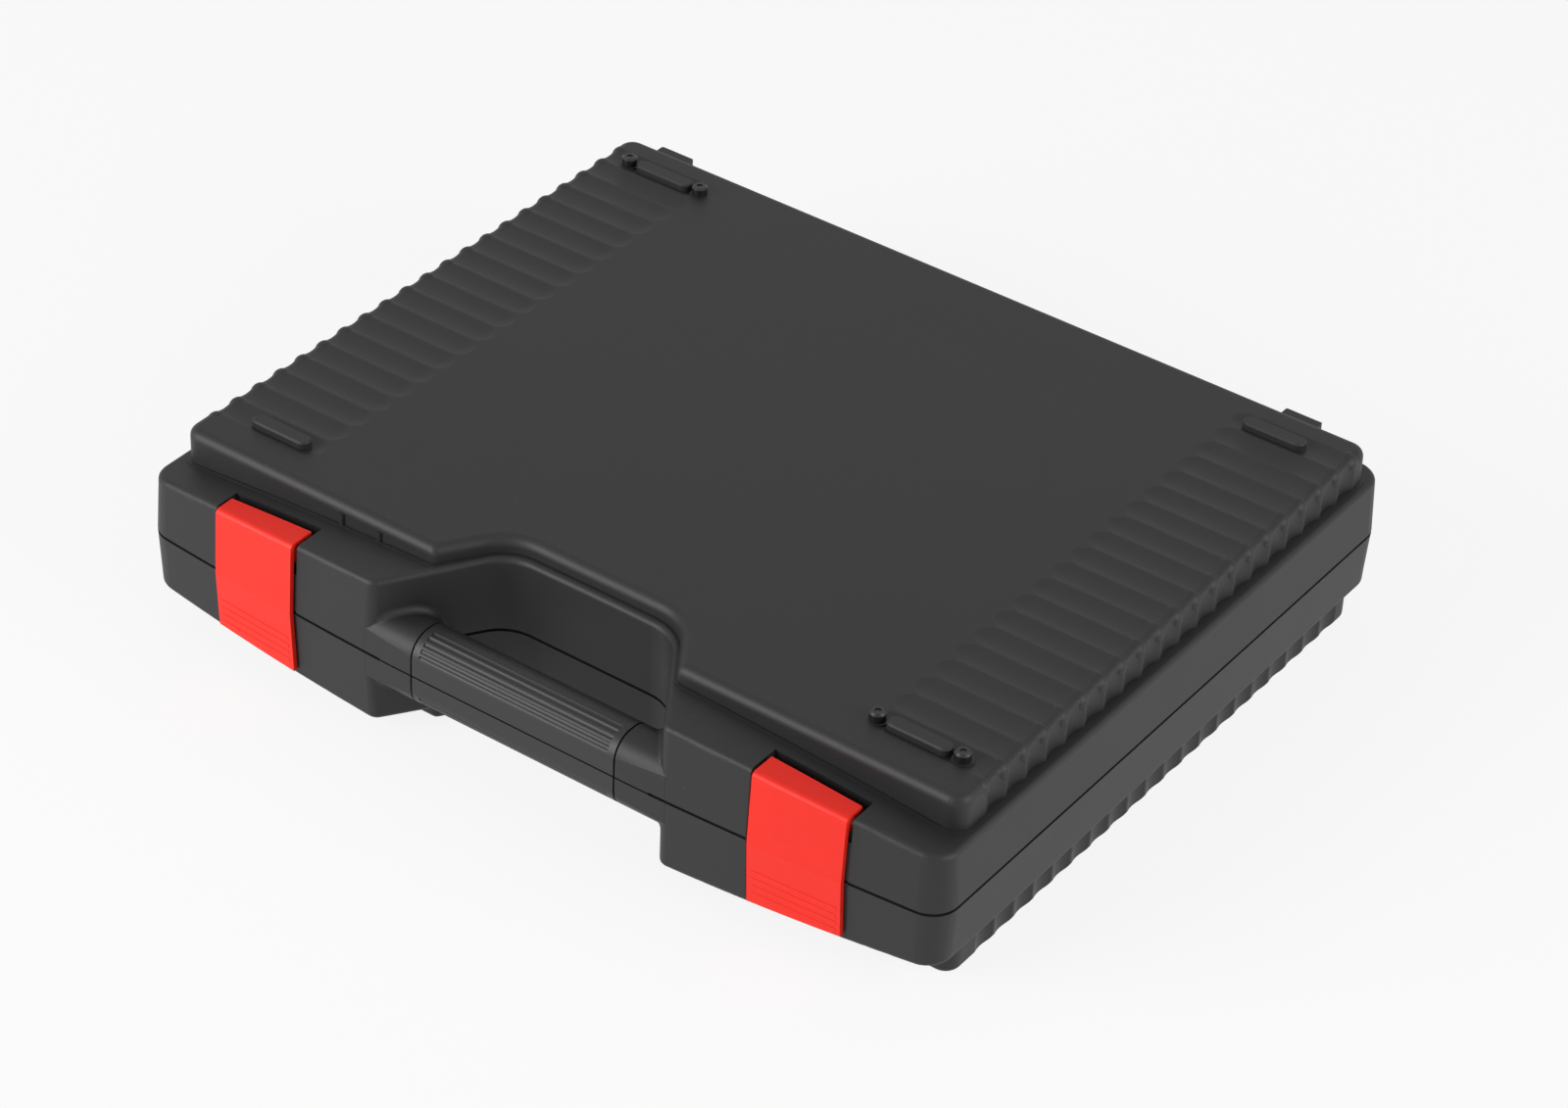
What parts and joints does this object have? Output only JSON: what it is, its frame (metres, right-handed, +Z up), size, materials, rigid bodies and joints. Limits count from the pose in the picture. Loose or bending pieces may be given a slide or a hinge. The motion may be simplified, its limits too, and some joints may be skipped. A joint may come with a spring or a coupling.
{
  "type": "knife case",
  "caption": "Flat moulded carrying case for knives, with a hinged ribbed lid, two front latches, a split handle and cut foam inside.",
  "frame": {"origin": "middle of the footprint, on the surface that the case lies on", "axes": "+X to the right along the handle, -Y towards the front with the handle and latches, +Z up"},
  "size_m": [0.394, 0.3416, 0.0896],
  "materials": {
    "shell_plastic": "fine moulded grain, dark grey",
    "grip_rubber": "matt, with narrow lengthwise flutes",
    "latch_plastic": "smooth moulded red",
    "peg_rubber": "smooth, slightly glossy",
    "hinge_plastic": "smooth black",
    "steel": "plain turned steel",
    "foam_grey": "open-cell foam, dark grey",
    "foam_light": "open-cell foam, mid grey"
  },
  "bodies": {
    "base": {"base_shell": "shell_plastic", "grip_lower": "grip_rubber", "foam_insert": "foam_grey", "foam_floor": "foam_light", "foam_backing": "foam_grey", "hinge_leaf_base_left": "hinge_plastic", "hinge_leaf_base_right": "hinge_plastic", "hinge_pin_left": "steel", "hinge_pin_right": "steel", "hinge_rivets_base": "steel"},
    "lid": {"lid_shell": "shell_plastic", "grip_upper": "grip_rubber", "lid_foam": "foam_light", "hinge_leaf_lid_left": "hinge_plastic", "hinge_leaf_lid_right": "hinge_plastic", "hinge_rivets_lid": "steel", "latch_pin_left": "steel", "latch_pin_right": "steel", "stacking_peg_1": "peg_rubber", "stacking_peg_2": "peg_rubber", "stacking_peg_3": "peg_rubber", "stacking_peg_4": "peg_rubber"},
    "latch_left": {"latch_left": "latch_plastic"},
    "latch_right": {"latch_right": "latch_plastic"}
  },
  "joints": [
    {"name": "lid_hinge", "type": "hinge", "parent": "base", "child": "lid", "pos_m": [0, 0.16655, 0.0428], "axis": [-1, 0, 0], "range_deg": [0, 110]},
    {"name": "latch_left_pivot", "type": "hinge", "parent": "lid", "child": "latch_left", "pos_m": [-0.1342, -0.16096, 0.06861], "axis": [-1, 0, 0], "range_deg": [0, 100]},
    {"name": "latch_right_pivot", "type": "hinge", "parent": "lid", "child": "latch_right", "pos_m": [0.1342, -0.16096, 0.06861], "axis": [-1, 0, 0], "range_deg": [0, 100]}
  ]
}
